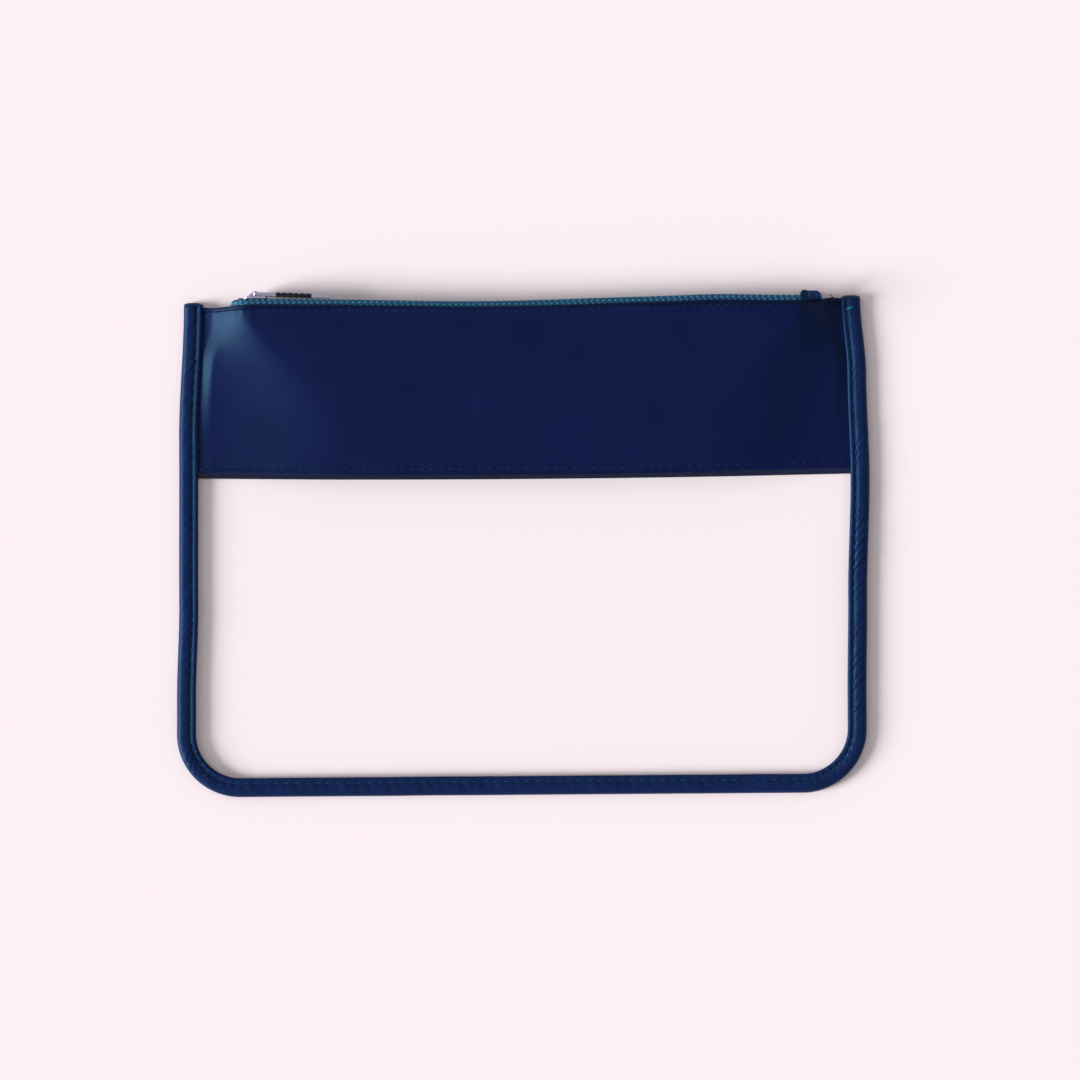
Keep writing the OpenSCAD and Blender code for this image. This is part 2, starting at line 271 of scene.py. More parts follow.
def nodeMix(tree, fac, a, b):
    node = tree.nodes.new("ShaderNodeMix")
    node.data_type = "RGBA"
    for index, value in ((0, fac), (6, a), (7, b)):
        if isinstance(value, (int, float)):
            node.inputs[index].default_value = value
        elif isinstance(value, tuple):
            node.inputs[index].default_value = value + (1,)
        else:
            tree.links.new(value, node.inputs[index])
    return node.outputs[2]


# diagonal woven lines, broken up along their length by the crossing yarns; the Sheen mask marks the rib
# tops, where the painted sheen goes
def twillGroup():
    group = bpy.data.node_groups.new("twillWeave", "ShaderNodeTree")
    nodeInput(group, "Coordinates", "NodeSocketVector")
    nodeInput(group, "Lines per mm", "NodeSocketFloat", 1.8)
    nodeInput(group, "Across", "NodeSocketFloat", 1.0)
    nodeOutput(group, "Height")
    nodeOutput(group, "Sheen mask")
    start = group.nodes.new("NodeGroupInput")
    end = group.nodes.new("NodeGroupOutput")
    split = group.nodes.new("ShaderNodeSeparateXYZ")
    group.links.new(start.outputs[0], split.inputs[0])
    turn = nodeMath(group, "MULTIPLY", start.outputs[1], 2 * math.pi * 1000 * 0.7071)
    along = nodeMath(group, "MULTIPLY", split.outputs[1], start.outputs[2])
    diagonal = nodeMath(group, "ADD", split.outputs[0], along)
    crossing = nodeMath(group, "SUBTRACT", split.outputs[0], along)
    ribs = nodeMath(group, "SINE", nodeMath(group, "MULTIPLY", diagonal, turn))
    beads = nodeMath(group, "SINE", nodeMath(group, "MULTIPLY", crossing, turn))
    height = nodeAdded(group, nodeAdded(group, 0.5, beads, 0.12), ribs, 0.4)
    mask = nodeMath(group, "POWER", nodeMath(group, "MAXIMUM", height, 0.0), 3.0)
    group.links.new(height, end.inputs[0])
    group.links.new(mask, end.inputs[1])
    return group


# slow tone changes, as in cloth that has been handled
def wearGroup():
    group = bpy.data.node_groups.new("handledTone", "ShaderNodeTree")
    nodeInput(group, "Coordinates", "NodeSocketVector")
    nodeInput(group, "Patch size", "NodeSocketFloat", 30.0)
    nodeOutput(group, "Tone")
    nodeOutput(group, "Speckle")
    start = group.nodes.new("NodeGroupInput")
    end = group.nodes.new("NodeGroupOutput")
    slow = group.nodes.new("ShaderNodeTexNoise")
    slow.inputs["Detail"].default_value = 3.0
    group.links.new(start.outputs[0], slow.inputs["Vector"])
    group.links.new(start.outputs[1], slow.inputs["Scale"])
    fine = group.nodes.new("ShaderNodeTexNoise")
    fine.inputs["Scale"].default_value = 1500.0
    fine.inputs["Detail"].default_value = 1.0
    group.links.new(start.outputs[0], fine.inputs["Vector"])
    group.links.new(slow.outputs["Fac"], end.inputs[0])
    group.links.new(fine.outputs["Fac"], end.inputs[1])
    return group


def placeGroup(tree, group, coordinates, **values):
    node = tree.nodes.new("ShaderNodeGroup")
    node.node_tree = group
    tree.links.new(coordinates, node.inputs["Coordinates"])
    for name, value in values.items():
        node.inputs[name.replace("_", " ")].default_value = value
    return node


def newMaterial(name, finish):
    mat = bpy.data.materials.new(name)
    mat.use_nodes = True
    shader = mat.node_tree.nodes["Principled BSDF"]
    for socket, value in finish.items():
        shader.inputs[socket].default_value = value
    return mat, mat.node_tree, shader


# what every surface here varies: its colour, the relief and, for most, the roughness
def wireShader(tree, shader, colour, height, distance, rough=None):
    tree.links.new(colour, shader.inputs["Base Color"])
    if rough is not None:
        tree.links.new(rough, shader.inputs["Roughness"])
    bump = tree.nodes.new("ShaderNodeBump")
    bump.inputs["Distance"].default_value = distance
    bump.inputs["Strength"].default_value = 1.0
    tree.links.new(height, bump.inputs["Height"])
    tree.links.new(bump.outputs[0], shader.inputs["Normal"])


def coordinatesOf(tree, source, scale=None):
    coords = tree.nodes.new("ShaderNodeTexCoord").outputs[source]
    if scale is None:
        return coords
    mapping = tree.nodes.new("ShaderNodeMapping")
    mapping.inputs["Scale"].default_value = scale
    tree.links.new(coords, mapping.inputs["Vector"])
    return mapping.outputs[0]


twill = twillGroup()
tone = wearGroup()


# satin twill nylon: navy yarns with a cool sheen where the light grazes them, and a painted teal sheen on
# the weave's rib tops
def clothMaterial(name, spec):
    mat, tree, shader = newMaterial(name, spec["finish"])
    coords = coordinatesOf(tree, spec["source"], spec.get("scale"))
    weave = placeGroup(tree, twill, coords, Lines_per_mm=spec["lines"], Across=spec.get("across", 1.0))
    patches = placeGroup(tree, tone, coords, Patch_size=spec.get("patches", 30.0))
    slow = nodeMix(tree, patches.outputs["Tone"], spec["dark"], spec["mid"])
    # painted sheen: the rib tops of the weave are painted a lighter teal
    ribSheen = nodeMath(tree, "MULTIPLY", weave.outputs["Sheen mask"], spec.get("ribSheen", 0.5))
    colour = nodeMix(tree, ribSheen, slow, spec["light"])
    if "paintedFoldShade" in spec:                      # painted shade: the rolled top fold and the hem's lowest strip are darkened, standing in for the shade where they turn away from the light
        low, high, width = spec["paintedFoldShade"]
        axis = tree.nodes.new("ShaderNodeSeparateXYZ")
        tree.links.new(coords, axis.inputs[0])
        top = nodeMath(tree, "GREATER_THAN", axis.outputs[1], high - width)
        hem = nodeMath(tree, "LESS_THAN", axis.outputs[1], low + 0.7 * width)
        edge = nodeMath(tree, "MULTIPLY", nodeMath(tree, "MAXIMUM", top, hem), 0.75)
        colour = nodeMix(tree, edge, colour, tuple(0.35 * c for c in spec["mid"]))
    rough = nodeAdded(tree, spec.get("rough", 0.36), patches.outputs["Tone"], 0.16)
    height = nodeAdded(tree, weave.outputs["Height"], patches.outputs["Speckle"], 0.5)
    wireShader(tree, shader, colour, height, spec.get("depth", 0.05 * mm), rough)
    return mat


satin = {
    "Specular IOR Level": 0.25,
    "Specular Tint": (0.22, 0.7, 0.97, 1),
    "Sheen Weight": 0.03,
    "Sheen Roughness": 0.35,
    "Sheen Tint": (0.12, 0.45, 0.6, 1),
}
# in each cloth, the light colour is the painted sheen of the rib tops
bandCloth = clothMaterial("bandTwill", {
    "finish": satin, "source": "Object", "lines": 1.35, "patches": 28.0,
    # painted shade along the top fold and the hem
    "paintedFoldShade": (pouch["low"] + 0.8 * mm, pouch["fold"] - 0.3 * mm, 1.5 * mm),
    "dark": (0.002, 0.0018, 0.034), "mid": (0.0042, 0.0042, 0.056), "light": (0.005, 0.015, 0.07),
    "depth": 0.07 * mm, "ribSheen": 0.3, "rough": 0.32,
})
loopLength = 2 * (pouch["bindTop"] - pouch["base"] - pouch["corner"]
                  + pouch["side"] - pouch["corner"]) + math.pi * pouch["corner"]
bindingCloth = clothMaterial("bindingBias", {
    "finish": satin, "source": "UV", "scale": (loopLength, 18 * mm, 1), "lines": 1.25, "patches": 60.0,
    "dark": (0.0025, 0.0035, 0.039), "mid": (0.0045, 0.0065, 0.062), "light": (0.009, 0.034, 0.115),
    "depth": 0.07 * mm, "ribSheen": 0.8,
})
tabCloth = clothMaterial("tabTwill", {
    "finish": satin, "source": "Object", "lines": 1.9, "patches": 60.0,
    "dark": (0.005, 0.011, 0.055), "mid": (0.008, 0.018, 0.08), "light": (0.016, 0.05, 0.12),
})


# woven zip tape: rows of slanted floats, with a teal highlight painted on their tops as small scales
def tapeMaterial():
    mat, tree, shader = newMaterial("tapeWeave", {
        "Specular Tint": (0.2, 0.75, 0.9, 1), "Sheen Weight": 0.05,
        "Sheen Tint": (0.1, 0.5, 0.55, 1), "Roughness": 0.5, "Specular IOR Level": 0.35,
    })
    coords = coordinatesOf(tree, "Object")
    split = tree.nodes.new("ShaderNodeSeparateXYZ")
    tree.links.new(coords, split.inputs[0])
    x, y, z = split.outputs
    turn = 2 * math.pi / pouch["tapeWeave"]
    # height and level share one ruler, so that the pattern carries on round the tape's bend
    drop = nodeMath(tree, "SUBTRACT", nodeMath(tree, "ADD", y, z), pouch["tapeTop"])
    rows = nodeMath(tree, "SINE", nodeMath(tree, "MULTIPLY", drop, turn))
    skew = nodeMath(tree, "SUBTRACT", x, nodeMath(tree, "MULTIPLY", drop, 0.6))
    floats = nodeMath(tree, "SINE", nodeMath(tree, "MULTIPLY", skew, turn))
    scales = nodeMath(tree, "MULTIPLY", rows, floats)
    height = nodeAdded(tree, 0.5, scales, 0.5)
    # painted highlight: the tops of the floats are painted teal
    paintedScaleHighlight = nodeMath(tree, "POWER", nodeMath(tree, "MAXIMUM", height, 0.0), 4.0)
    patches = placeGroup(tree, tone, coords, Patch_size=90.0)
    base = nodeMix(tree, patches.outputs["Tone"], (0.012, 0.024, 0.085), (0.018, 0.042, 0.12))
    colour = nodeMix(tree, nodeMath(tree, "MULTIPLY", paintedScaleHighlight, 0.9), base, (0.03, 0.32, 0.36))
    wireShader(tree, shader, colour, height, 0.14 * mm)
    return mat


# two-ply sewing thread: fine slanted plies along the stitch, with a lighter sheen painted on their tops
def threadMaterial(name, dark, light):
    mat, tree, shader = newMaterial(name, {
        "Roughness": 0.45, "Sheen Weight": 0.05, "Sheen Tint": (0.2, 0.6, 0.65, 1),
        "Specular Tint": (0.2, 0.7, 1.0, 1), "Specular IOR Level": 0.35,
    })
    coords = coordinatesOf(tree, "Object")
    weave = placeGroup(tree, twill, coords, Lines_per_mm=4.0)
    # painted sheen: the ply tops take the light colour
    colour = nodeMix(tree, weave.outputs["Sheen mask"], dark, light)
    wireShader(tree, shader, colour, weave.outputs["Height"], 0.05 * mm)
    return mat


# clear soft vinyl. Lamps shine straight through it, so it casts next to no shadow
def filmMaterial():
    mat, tree, shader = newMaterial("clearVinyl", {
        "Transmission Weight": 1.0, "IOR": 1.4, "Roughness": 0.03, "Specular IOR Level": 0.2,
    })
    coords = coordinatesOf(tree, "Object")
    patches = placeGroup(tree, tone, coords, Patch_size=22.0)
    tint = nodeMix(tree, patches.outputs["Tone"], (0.98, 0.985, 0.995), (0.995, 0.995, 1.0))
    wireShader(tree, shader, tint, patches.outputs["Tone"], 0.4 * mm)
    clear = tree.nodes.new("ShaderNodeBsdfTransparent")
    path = tree.nodes.new("ShaderNodeLightPath")
    mix = tree.nodes.new("ShaderNodeMixShader")
    tree.links.new(path.outputs["Is Camera Ray"], mix.inputs[0])
    tree.links.new(clear.outputs[0], mix.inputs[1])
    tree.links.new(shader.outputs[0], mix.inputs[2])
    tree.links.new(mix.outputs[0], tree.nodes["Material Output"].inputs["Surface"])
    return mat


# plated die casting: fine orange-peel, with thin scuffs and duller patches
def metalMaterial(name, spec):
    finish = {"Metallic": spec["metallic"], "Specular IOR Level": spec.get("gloss", 0.5)}
    mat, tree, shader = newMaterial(name, finish)
    coords = coordinatesOf(tree, "Object")
    patches = placeGroup(tree, tone, coords, Patch_size=spec.get("patches", 260.0))
    scuff = tree.nodes.new("ShaderNodeTexNoise")
    scuff.inputs["Scale"].default_value = 900.0
    scuff.inputs["Distortion"].default_value = 1.2
    stretch = tree.nodes.new("ShaderNodeMapping")
    stretch.inputs["Scale"].default_value = (0.25, 1, 2.2)
    tree.links.new(coords, stretch.inputs["Vector"])
    tree.links.new(stretch.outputs[0], scuff.inputs["Vector"])
    colour = nodeMix(tree, patches.outputs["Tone"], spec["dark"], spec["light"])
    rough = nodeAdded(tree, spec["rough"], scuff.outputs["Fac"], 0.22)
    wireShader(tree, shader, colour, scuff.outputs["Fac"], 0.012 * mm, rough)
    return mat


# moulded nylon monofilament, glossy and slightly see-through at its edges
def coilMaterial():
    mat, tree, shader = newMaterial("coilNylon", {
        "Coat Roughness": 0.15, "Specular Tint": (0.6, 0.9, 1.0, 1), "Coat Weight": 0.3,
    })
    coords = coordinatesOf(tree, "Object")
    patches = placeGroup(tree, tone, coords, Patch_size=500.0)
    colour = nodeMix(tree, patches.outputs["Tone"], (0.008, 0.016, 0.06), (0.014, 0.04, 0.11))
    rough = nodeAdded(tree, 0.2, patches.outputs["Tone"], 0.2)
    wireShader(tree, shader, colour, patches.outputs["Speckle"], 0.01 * mm, rough)
    return mat


tapeWeave = tapeMaterial()
seamThread = threadMaterial("seamThread", (0.006, 0.02, 0.07), (0.018, 0.1, 0.16))
edgeThread = threadMaterial("edgeThread", (0.006, 0.03, 0.08), (0.018, 0.17, 0.2))
tealThread = threadMaterial("tealThread", (0.01, 0.2, 0.22), (0.03, 0.55, 0.52))
clearVinyl = filmMaterial()
nickel = metalMaterial("nickelPlate", {
    "metallic": 1.0, "dark": (0.45, 0.43, 0.62), "light": (0.86, 0.84, 1.0), "rough": 0.16,
})
# dark metal of the stops, also painted on the pull as its dark reflection
darkEnamelAndPaintedReflection = metalMaterial("darkEnamelAndPaintedReflection", {
    "metallic": 0.0, "dark": (0.003, 0.004, 0.008), "light": (0.009, 0.01, 0.018),
    "rough": 0.3, "gloss": 0.2,
})
coilNylon = coilMaterial()
print("materials ready")

band = {
    "thickness": 0.18 * mm,
    "lap": 7 * mm,             # cloth turned in at the top and at the hem
    "rows": 84,
    "topSeam": 1.8 * mm,       # seam below the fold
    "topPitch": 3.32 * mm,
    "hemSeam": 2.2 * mm,       # seam above the lower edge
    "hemPitch": 3.43 * mm,
    "foldPuff": 0.58 * mm,     # the rolled edge between the fold and its seam
    "seamDip": 0.34 * mm,
    "seamWidth": 0.45 * mm,
    "pucker": 0.24 * mm,
    "puckerReach": 2.0 * mm,   # how far the puckers run from the top seam, and from the hem's
    "hemReach": 2.4 * mm,
    # slow waves in the face: height, size across and upwards in mm, and a seed
    "waves": [(0.42, 46, 26, 1), (0.12, 12, 15, 2)],
    "sidePull": 0.09 * mm,     # small pulls where the binding's seam holds the cloth
    "margin": (1.3 * mm, 4.2 * mm),        # the allowance lies this far in under the binding
    "frontBow": (0.9, 1.8),    # how far the hem stands up in the middle and more at the sides, in mm
    "backBow": (0.8, 1.0),
    "backShare": 0.7,          # the back's relief, as a part of the front's
    "step": 0.5 * mm,
    "backStep": 0.56 * mm,
}
# the mouth isn't a ruled line: place, reach and height of its waves, in mm
mouthWaves = [(-14, 44, -1.4), (-114, 8, -0.8), (70, 16, 0.5), (115, 5, 1.3)]


# height and inward depth of each row: up inside the hem, over the face, down inside the top fold
def foldedRows(low, high):
    gap = band["thickness"] + 0.02 * mm
    r = gap / 2
    rows = [(low + r + (band["lap"] - r) * (1 - i / 6), -gap) for i in range(6)]
    rows += [(low + r - r * math.sin(a), -r - r * math.cos(a)) for a in (0.5, 1.2, 2.0)]
    for i in range(band["rows"] + 1):
        t = i / band["rows"]
        eased = t - 0.72 * math.sin(2 * math.pi * t) / (2 * math.pi)       # closer rows near both seams
        rows.append((low + r + (high - low - 2 * r) * eased, 0))
    rows += [(high - r + r * math.sin(a), -r + r * math.cos(a)) for a in (0.7, 1.57, 2.4)]
    rows += [(high - r - (band["lap"] - r) * i / 6, -gap) for i in range(7)]
    return rows


# what sewing does to the face of a band: rolled edges, sunk seams and the puckers beside them
def bandRelief(x, y, low):
    y = min(max(y, low), pouch["fold"])
    fromTop, fromLow = pouch["fold"] - y, y - low
    seam, hem = fromTop - band["topSeam"], fromLow - band["hemSeam"]
    uneven = 0.75 + 0.5 * rippleAt(x, y, 11 * mm, 30 * mm, 3)
    topWave, hemWave = stitchWave(x, band["topPitch"]), stitchWave(x, band["hemPitch"])
    z = band["foldPuff"] * hump(fromTop - 0.85 * mm, 0.75 * mm) * (0.85 + 0.15 * topWave)
    z += 0.5 * band["foldPuff"] * hump(fromLow - 1.0 * mm, 0.9 * mm)
    seams = [(seam, topWave, band["puckerReach"], 1.0), (hem, hemWave, band["hemReach"], 0.7)]
    for gap, wave, reach, share in seams:
        z -= band["seamDip"] * hump(gap, band["seamWidth"]) * (1 - 0.5 * wave) * uneven
        beyond = math.exp(-max(gap, 0) / reach) * smooth((gap + 0.5 * mm) / mm)
        z += share * band["pucker"] * (wave - 0.5) * uneven * beyond
    side = pouch["inner"] - abs(x)
    away = smooth(side / (7 * mm)) * smooth(fromTop / (5 * mm)) * smooth(fromLow / (5 * mm))
    for height, across, upwards, seed in band["waves"]:
        z += away * height * mm * rippleAt(x, y, across * mm, upwards * mm, seed)
    pull = stitchWave(y, pouch["bindPitch"]) - 0.5
    z += band["sidePull"] * pull * math.exp(-max(side, 0) / (2.6 * mm)) * smooth(side / mm)
    return z


# level of the outer face of the front band
def frontBandZ(x, y):
    return pouch["clothZ"] + doubled + frontRise(x, y) + bandRelief(x, y, pouch["low"])


def mouthSag(x):
    return sum(height * mm * hump(x - place * mm, reach * mm) for place, reach, height in mouthWaves)


# how far the sewn edges stand above straight ones: the mouth's waves, and the hem's bow
def sewnEdge(x, y, low, bow):
    upper = smooth((y - pouch["low"] - 12 * mm) / (44 * mm))
    hem = (bow[0] + bow[1] * (x / pouch["inner"]) ** 2) * mm
    return mouthSag(x) * upper + hem * (1 - smooth((y - low) / (30 * mm)))


# the front wanders a little besides, where the zip lets it
def edgeWander(x, y):
    wander = 0.2 * mm * rippleAt(x, y, 30 * mm, 400 * mm, 7) * (1 - smooth((abs(x) - 84 * mm) / (5 * mm)))
    return sewnEdge(x, y, pouch["low"], band["frontBow"]) + wander


def backWander(x, y):
    return sewnEdge(x, y, backBandLow.y, band["backBow"])


def makeFrontBand(side, name):
    rows = foldedRows(pouch["low"], pouch["fold"])
    reach = pouch["inner"] + pouch["tuck"]
    half = band["thickness"] / 2

    def place(u, row):
        y, depth = rows[row]
        x = side * reach * (1 - u)
        z = frontBandZ(x, min(max(y, pouch["low"]), pouch["fold"])) + depth - half
        return Vector((swayX(x, y), y + edgeWander(x, y), z))

    obj = shapedGrid(name, round(reach / band["step"]), len(rows) - 1, place)
    faceUp(obj, Vector((0, 0, 1)))
    thicken(obj, band["thickness"])
    finishPiece(obj, bandCloth, "band_fabric", "front_band")
    bendWithMouth(obj)


makeFrontBand(-1, "frontBandLeft")
makeFrontBand(1, "frontBandRight")


# level of the outer face of the back band
def backBandZ(x, y):
    return backBandLow.z - band["backShare"] * max(bandRelief(x, y, backBandLow.y), -0.1 * mm)


def makeBackBand():
    rows = foldedRows(backBandLow.y, pouch["fold"])
    reach = pouch["inner"] + pouch["tuck"]

    def place(u, row):
        y, depth = rows[row]
        x = reach * (2 * u - 1)
        z = backBandZ(x, y) + band["thickness"] / 2 - depth
        return Vector((swayX(x, y), y + backWander(x, y), z))

    obj = shapedGrid("backBand", round(2 * reach / band["backStep"]), len(rows) - 1, place)
    faceUp(obj, Vector((0, 0, -1)))
    thicken(obj, band["thickness"])
    finishPiece(obj, bandCloth, "band_fabric", "back_band")
    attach(obj, "bag")


makeBackBand()


# the front band's seam allowance, held inside the binding
def makeMargin(side, name):
    def place(u, row):
        x = side * (pouch["inner"] + mixed(band["margin"], u))
        y = pouch["low"] + (pouch["fold"] - pouch["low"]) * row / 40
        return Vector((swayX(x, y), y, pouch["clothZ"] + 0.1 * mm))

    obj = shapedGrid(name, 4, 40, place)
    faceUp(obj, Vector((0, 0, 1)))
    thicken(obj, band["thickness"])
    finishPiece(obj, bandCloth, "band_fabric", "front_band_margins")
    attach(obj, "bag")


makeMargin(-1, "bandMarginLeft")
makeMargin(1, "bandMarginRight")
print("bands ready")

film = {"thickness": 0.3 * mm, "columns": 150, "rows": 84, "wave": 0.16 * mm}


# a clear sheet, from inside the binding up to behind the band
def makeFilm(name, node, frontSide):
    low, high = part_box(node)
    topY, inset = high.y, pouch["side"] - high.x
    mid = low.z + 0.2 * mm

    def place(u, row):
        y = low.y + (topY - low.y) * row / film["rows"]
        edge = halfWidth(y, inset)
        x = edge * (2 * u - 1)
        calm = smooth((edge - abs(x) - 4 * mm) / (8 * mm)) * smooth((y - low.y - 4 * mm) / (10 * mm))
        wave = film["wave"] * (1.0 if frontSide else 0.3)
        z = mid + wave * calm * rippleAt(x, y, 34 * mm, 40 * mm, 5)
        if frontSide:
            z += frontRise(x, y) - 0.06 * mm * calm
        return Vector((swayX(x, y), y, z))

    obj = shapedGrid(name, film["columns"], film["rows"], place)
    faceUp(obj, Vector((0, 0, 1 if frontSide else -1)))
    thicken(obj, film["thickness"])
    finishPiece(obj, clearVinyl, "clear_sheet", node)
    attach(obj, "bag")


makeFilm("frontWindow", "front_window", True)
makeFilm("backWindow", "back_window", False)
print("windows ready")

binding = {
    "step": 0.62 * mm,
    "seam": 4.9 * mm,           # the seam's distance from the outer edge
    "seamFaces": (2.86 * mm, 0.2 * mm),    # level of its stitches, front and back
    "seamDip": 0.26 * mm,
    "pucker": 0.24 * mm,
    "uneven": 0.2 * mm,
    "crown": 2.9 * mm,          # middle of the face, from the outer edge
    "dragPitch": 3.1 * mm,      # from one dragged fold to the next
    "dragSlant": 1.5,
    "thickness": 0.28 * mm,
    "endRound": 1.3 * mm,       # the ends are folded in and pinched flat
    "endBulge": 0.35 * mm,
    "leftDrop": 0.9 * mm,       # the left end was cut a little shorter
    # distance from the outer edge and level, from inside the front leg round to inside the back leg
    "section": [
        (3.4, 2.42), (4.6, 2.42), (5.9, 2.44), (6.5, 2.5), (6.68, 2.66), (6.55, 2.84), (6.1, 2.97),
        (5.6, 2.95), (5.2, 2.78), (4.9, 2.68), (4.6, 2.76), (4.2, 2.98), (3.6, 3.12), (2.8, 3.17),
        (2.0, 3.14), (1.3, 3.0), (0.7, 2.66), (0.3, 2.15), (0.15, 1.55), (0.25, 0.95), (0.6, 0.5),
        (1.2, 0.24), (2.0, 0.16), (3.2, 0.15), (4.4, 0.16), (4.9, 0.24), (5.4, 0.16), (6.1, 0.15),
        (6.55, 0.24), (6.66, 0.4), (6.5, 0.55), (5.6, 0.6), (3.4, 0.6)],
}
# folds dragged across the binding: distance along the loop, reach and depth, in mm
dragFolds = [
    (492, 7, 0.5), (499, 6, 0.42), (506, 8, 0.36), (484, 6, 0.3), (24, 7, 0.28), (118, 8, 0.25),
    (166, 9, 0.36), (412, 9, 0.32), (534, 7, 0.24), (560, 6, 0.28), (441, 6, 0.36), (449, 6, 0.48),
    (457, 7, 0.42), (468, 7, 0.34)]


# a point at distance s along the binding, from the top left round the bottom to the top right
def loopPoint(s, inset):
    straight = pouch["bindTop"] - pouch["base"] - pouch["corner"]
    arc = math.pi / 2 * pouch["corner"]
    bottom = 2 * (pouch["side"] - pouch["corner"])
    centreX, centreY = pouch["side"] - pouch["corner"], pouch["base"] + pouch["corner"]
    r = pouch["corner"] - inset
    if s <= straight:
        return -pouch["side"] + inset, pouch["bindTop"] - s
    s -= straight
    if s <= arc:
        a = math.pi + s / pouch["corner"]
        return -centreX + r * math.cos(a), centreY + r * math.sin(a)
    s -= arc
    if s <= bottom:
        return -centreX + s, pouch["base"] + inset
    s -= bottom
    if s <= arc:
        a = -math.pi / 2 + s / pouch["corner"]
        return centreX + r * math.cos(a), centreY + r * math.sin(a)
    return pouch["side"] - inset, centreY + s - arc


# puckers at the seam, slanted drags and slow unevenness of the folded tape
def bindingShift(s, u, level):
    top = smooth((level - 1.2 * mm) / (1.4 * mm))
    seam, crown = u - binding["seam"], u - binding["crown"]
    wave = stitchWave(s, pouch["bindPitch"])
    uneven = 0.7 + 0.6 * rippleAt(s, u, 14 * mm, 40 * mm, 11)
    lift = -binding["seamDip"] * hump(seam, 0.55 * mm) * (1 - wave) * uneven
    lift += binding["pucker"] * (wave - 0.5) * uneven * hump(seam + mm, 1.1 * mm)
    lift += 0.5 * binding["pucker"] * (wave - 0.5) * hump(seam - mm, 0.6 * mm)
    lift += binding["uneven"] * rippleAt(s, u, 9 * mm, 30 * mm, 13) * hump(crown + 0.3 * mm, 2.4 * mm)
    lift += binding["uneven"] * rippleAt(s + 1.2 * u, u, 3.2 * mm, 9 * mm, 15) * hump(crown, 1.8 * mm)
    for centre, reach, depth in dragFolds:
        d = s - centre * mm + (u - 3 * mm) * binding["dragSlant"]
        if abs(d) < 2 * reach * mm:
            fold = depth * mm * math.cos(2 * math.pi * d / binding["dragPitch"])
            lift += fold * hump(d, 0.45 * reach * mm) * hump(crown, 2.3 * mm)
    return lift * top


def makeBinding():
    section = [(u * mm, z * mm) for u, z in binding["section"]]
    middle = bindHigh.z / 2
    half = 3.3 * mm            # of the binding's width

    def place(t, row):
        u, level = section[row]
        s = t * loopLength
        fromEnd = min(s, loopLength - s)
        pinch = math.sqrt(max(0.0, 1 - (1 - min(1.0, fromEnd / binding["endRound"])) ** 2))
        x, y = loopPoint(s, u)
        if y > 0:
            y -= 0.55 * mm * abs((u - half) / half) ** 3 * smooth(1 - fromEnd / (4 * mm))
        z = middle + (level - middle) * (0.05 + 0.95 * pinch) + bindingShift(s, u, level) * pinch
        z += binding["endBulge"] * hump(fromEnd - 1.6 * mm, 1.6 * mm) * smooth((level - middle) / mm)
        if y < 0:
            y += 0.1 * mm * rippleAt(s, 0, 25 * mm, 1, 17)
        if x < 0:
            y -= binding["leftDrop"] * smooth(1 - fromEnd / (12 * mm))
        return Vector((swayX(x, y), y, max(z, 0.15 * mm)))

    obj = shapedGrid("edgeBinding", round(loopLength / binding["step"]), len(section) - 1, place)
    faceUp(obj, Vector((0, 0, 1)), above=2.9 * mm)
    thicken(obj, binding["thickness"])
    finishPiece(obj, bindingCloth, "binding_fabric", "edge_binding")
    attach(obj, "bag")


makeBinding()
print("binding ready")

stitch = {
    "length": 1.9 * mm,
    "radius": 0.14 * mm,
    "arch": 0.12 * mm,
    "slant": 0.16,              # lockstitches lie at a slight slant, on the bands and on the binding
    "edgeSlant": 0.2,
}


# one stitch: a short rounded thread that dips into the cloth at both ends
def stitchPattern(length):
    radius, arch = stitch["radius"], stitch["arch"]
    bpy.ops.object.select_all(action="DESELECT")
    bpy.ops.mesh.primitive_uv_sphere_add(segments=8, ring_count=8, radius=1)
    obj = bpy.context.object
    obj.data.transform(Matrix.Rotation(math.pi / 2, 4, "Y"))
    for vert in obj.data.vertices:
        t = vert.co.x
        full = math.sqrt(max(1e-6, 1 - t * t))
        fat = (1 - abs(t) ** 5) ** 0.5 / full
        twist = 0.12 * math.sin(7 * t + math.atan2(vert.co.z, vert.co.y))
        vert.co = (t * length / 2, vert.co.y * fat * radius * (1 + twist),
                   vert.co.z * fat * radius * (1 + twist) - arch * t * t)
    bpy.ops.object.shade_smooth()
    return obj


# copies one stitch to each (point, direction, up)
def stitchRow(name, places, material, *replaced, length=stitch["length"]):
    pattern = stitchPattern(length)
    copies = []
    for point, direction, up in places:
        copy = pattern.copy()
        copy.data = pattern.data.copy()
        bpy.context.collection.objects.link(copy)
        x = direction.normalized()
        y = up.cross(x).normalized()
        z = x.cross(y)
        frameMatrix = Matrix((x, y, z)).transposed().to_4x4()
        frameMatrix.translation = point
        copy.data.transform(frameMatrix)
        copies.append(copy)
    bpy.data.objects.remove(pattern)
    row = joinAll(copies, name)
    finishPiece(row, material, "thread", *replaced)
    return row


# stitch places along a seam across a band; level(x, y) is its face
def surfaceStitches(side, y, pitch, level, sunk, wander):
    places = []
    step = 0.8 * mm
    for i in range(int(pouch["inner"] / pitch)):
        x = side * (i + 0.5) * pitch
        if abs(x) > pouch["inner"] - 1.5 * mm:
            continue
        a = Vector((swayX(x - step, y), y, level(x - step, y)))
        b = Vector((swayX(x + step, y), y, level(x + step, y)))
        middle = Vector((swayX(x, y), y + wander(x, y), (a.z + b.z) / 2 - sunk))
        direction = b - a
        direction.y = stitch["slant"] * direction.x
        places.append((middle, direction, Vector((0, 0, 1))))
    return places


